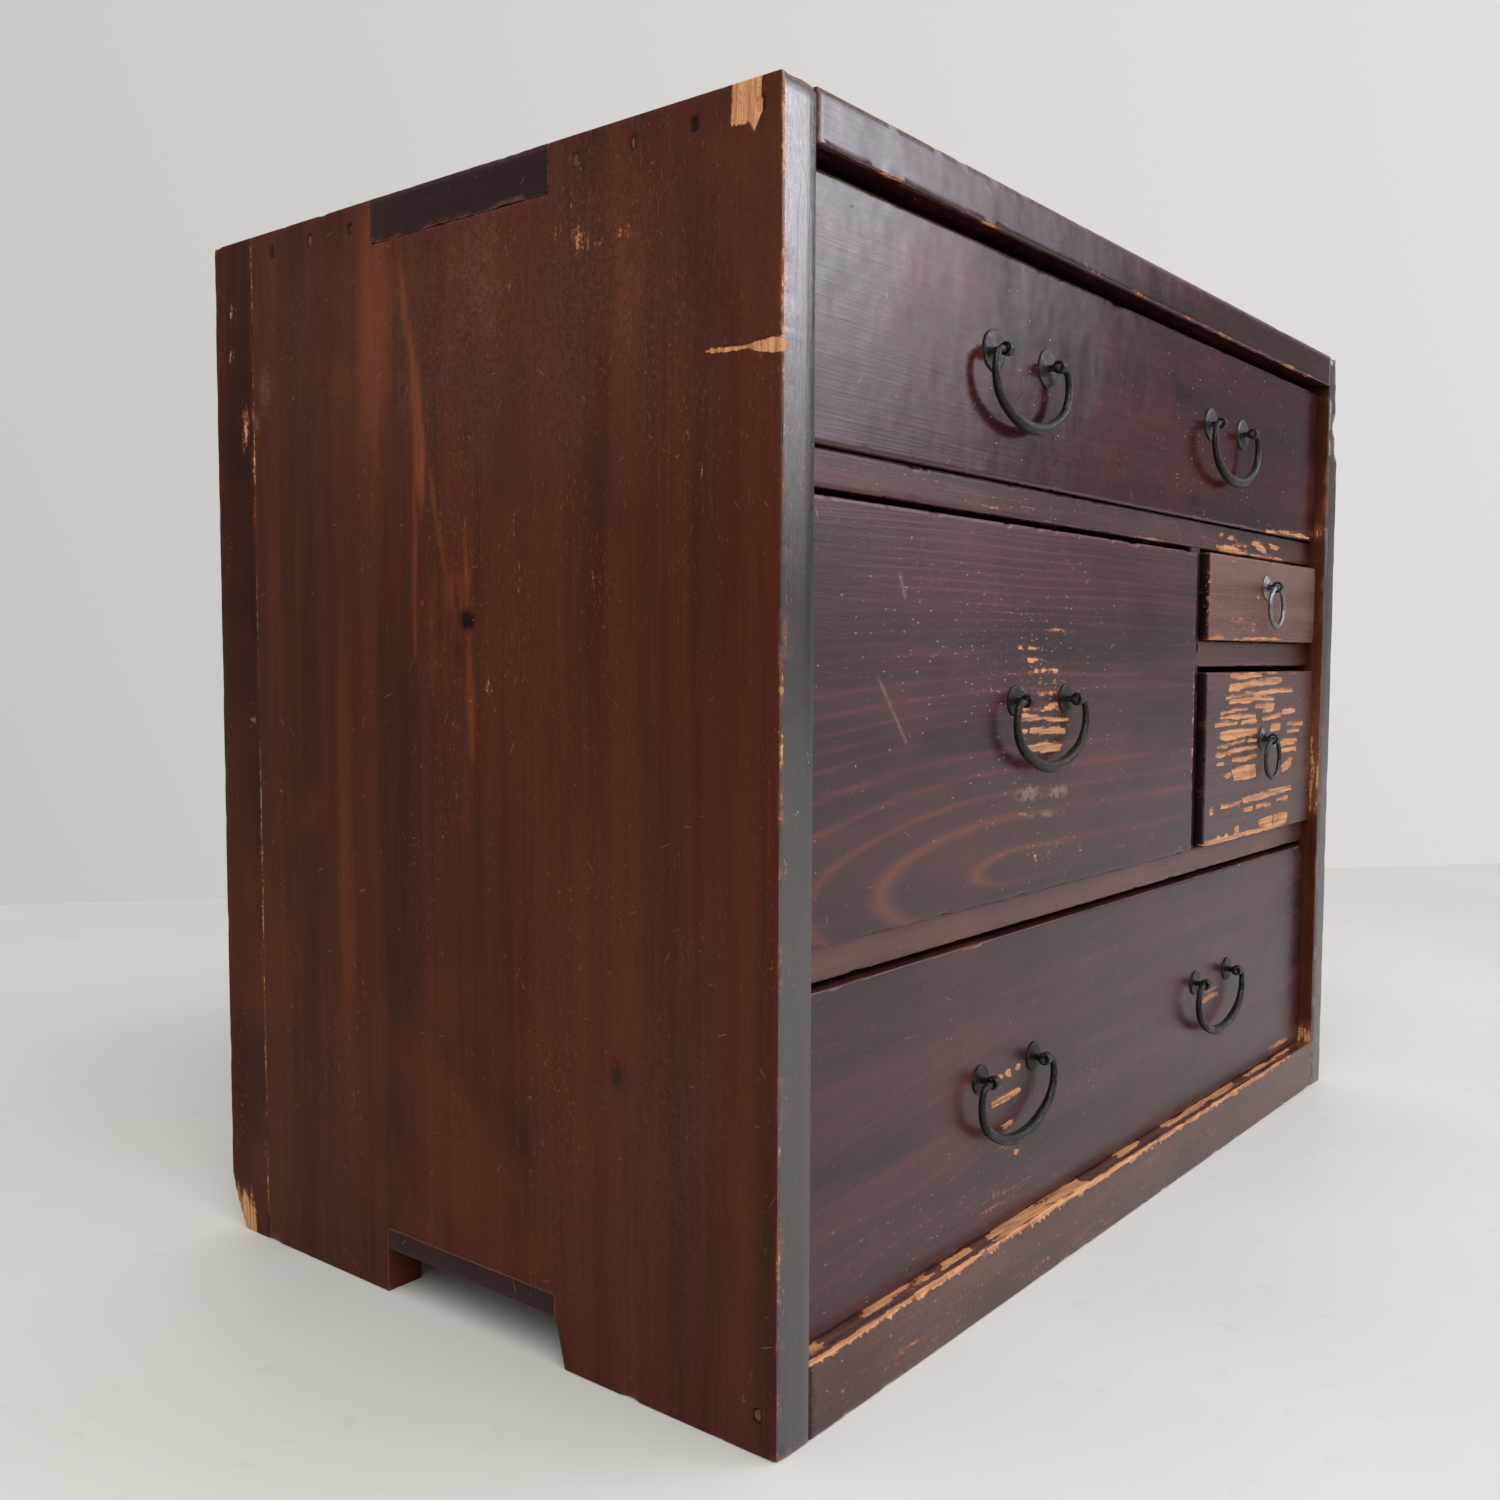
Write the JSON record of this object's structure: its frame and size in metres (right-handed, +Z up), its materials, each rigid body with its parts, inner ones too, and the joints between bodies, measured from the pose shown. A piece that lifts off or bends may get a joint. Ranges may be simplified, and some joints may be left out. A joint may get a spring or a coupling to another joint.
{
  "type": "small tansu chest of drawers",
  "caption": "Small Japanese chest of wide drawers and a column of narrow ones in a pegged board case, drawn by iron bails and ring pulls.",
  "frame": {"origin": "on the floor, under the middle of the case", "axes": "+Z up, the drawers open towards -Y, +X along the front"},
  "size_m": [0.57, 0.3322, 0.455],
  "materials": {
    "side_lacquer": "worn red-brown wiped lacquer, satin",
    "front_lacquer": "dark purple-brown lacquer, satin, worn to bare wood in places",
    "bare_cedar": "unfinished aged cedar",
    "peg_wood": "dark end grain",
    "black_iron": "blackened wrought iron, satin",
    "grey_steel": "dull grey steel"
  },
  "bodies": {
    "case": {"left_side_board": "side_lacquer", "right_side_board": "side_lacquer", "left_rear_strip": "side_lacquer", "right_rear_strip": "side_lacquer", "top_board": "front_lacquer", "bottom_board": "bare_cedar", "front_bottom_rail": "front_lacquer", "lower_rail": "front_lacquer", "upper_rail": "front_lacquer", "small_rail": "front_lacquer", "lower_shelf": "bare_cedar", "upper_shelf": "bare_cedar", "small_shelf": "bare_cedar", "partition": "front_lacquer", "back_board_lower": "bare_cedar", "back_board_upper": "bare_cedar", "wooden_pegs": "peg_wood"},
    "top_drawer": {"top_drawer_front": "front_lacquer", "top_drawer_left_side": "bare_cedar", "top_drawer_right_side": "bare_cedar", "top_drawer_back": "bare_cedar", "top_drawer_bottom": "bare_cedar", "top_drawer_eye_posts": "black_iron", "top_drawer_seat_plates": "grey_steel"},
    "middle_drawer": {"middle_drawer_front": "front_lacquer", "middle_drawer_left_side": "bare_cedar", "middle_drawer_right_side": "bare_cedar", "middle_drawer_back": "bare_cedar", "middle_drawer_bottom": "bare_cedar", "middle_drawer_eye_posts": "black_iron", "middle_drawer_seat_plates": "black_iron"},
    "small_upper_drawer": {"small_upper_drawer_front": "front_lacquer", "small_upper_drawer_left_side": "bare_cedar", "small_upper_drawer_right_side": "bare_cedar", "small_upper_drawer_back": "bare_cedar", "small_upper_drawer_bottom": "bare_cedar", "small_upper_drawer_eye_posts": "black_iron", "small_upper_drawer_seat_plates": "grey_steel"},
    "small_lower_drawer": {"small_lower_drawer_front": "front_lacquer", "small_lower_drawer_left_side": "bare_cedar", "small_lower_drawer_right_side": "bare_cedar", "small_lower_drawer_back": "bare_cedar", "small_lower_drawer_bottom": "bare_cedar", "small_lower_drawer_eye_posts": "black_iron", "small_lower_drawer_seat_plates": "grey_steel"},
    "bottom_drawer": {"bottom_drawer_front": "front_lacquer", "bottom_drawer_left_side": "bare_cedar", "bottom_drawer_right_side": "bare_cedar", "bottom_drawer_back": "bare_cedar", "bottom_drawer_bottom": "bare_cedar", "bottom_drawer_eye_posts": "black_iron", "bottom_drawer_seat_plates": "black_iron"},
    "top_left_bail": {"top_left_bail": "black_iron"},
    "top_right_bail": {"top_right_bail": "black_iron"},
    "middle_bail": {"middle_bail": "black_iron"},
    "small_upper_ring": {"small_upper_ring": "grey_steel"},
    "small_lower_ring": {"small_lower_ring": "grey_steel"},
    "bottom_left_bail": {"bottom_left_bail": "black_iron"},
    "bottom_right_bail": {"bottom_right_bail": "black_iron"}
  },
  "joints": [
    {"name": "top_drawer_slide", "type": "slide", "parent": "case", "child": "top_drawer", "axis": [0, -1, 0], "range_m": [-0.0035, 0.235]},
    {"name": "middle_drawer_slide", "type": "slide", "parent": "case", "child": "middle_drawer", "axis": [0, -1, 0], "range_m": [-0.004, 0.235]},
    {"name": "small_upper_drawer_slide", "type": "slide", "parent": "case", "child": "small_upper_drawer", "axis": [0, -1, 0], "range_m": [-0.005, 0.235]},
    {"name": "small_lower_drawer_slide", "type": "slide", "parent": "case", "child": "small_lower_drawer", "axis": [0, -1, 0], "range_m": [-0.005, 0.235]},
    {"name": "bottom_drawer_slide", "type": "slide", "parent": "case", "child": "bottom_drawer", "axis": [0, -1, 0], "range_m": [-0.002, 0.235]},
    {"name": "top_left_bail_swing", "type": "hinge", "parent": "top_drawer", "child": "top_left_bail", "pos_m": [-0.115, -0.1635, 0.3924], "axis": [-1, 0, 0], "range_deg": [-4, 150]},
    {"name": "top_right_bail_swing", "type": "hinge", "parent": "top_drawer", "child": "top_right_bail", "pos_m": [0.115, -0.1635, 0.3924], "axis": [-1, 0, 0], "range_deg": [-4, 150]},
    {"name": "middle_bail_swing", "type": "hinge", "parent": "middle_drawer", "child": "middle_bail", "pos_m": [-0.094, -0.164, 0.25215], "axis": [-1, 0, 0], "range_deg": [-4, 150]},
    {"name": "small_upper_ring_swing", "type": "hinge", "parent": "small_upper_drawer", "child": "small_upper_ring", "pos_m": [0.179, -0.165, 0.3108], "axis": [-1, 0, 0], "range_deg": [-6, 150]},
    {"name": "small_lower_ring_swing", "type": "hinge", "parent": "small_lower_drawer", "child": "small_lower_ring", "pos_m": [0.179, -0.165, 0.2239], "axis": [-1, 0, 0], "range_deg": [-6, 150]},
    {"name": "bottom_left_bail_swing", "type": "hinge", "parent": "bottom_drawer", "child": "bottom_left_bail", "pos_m": [-0.115, -0.162, 0.0959], "axis": [-1, 0, 0], "range_deg": [-4, 150]},
    {"name": "bottom_right_bail_swing", "type": "hinge", "parent": "bottom_drawer", "child": "bottom_right_bail", "pos_m": [0.115, -0.162, 0.0959], "axis": [-1, 0, 0], "range_deg": [-4, 150]}
  ]
}
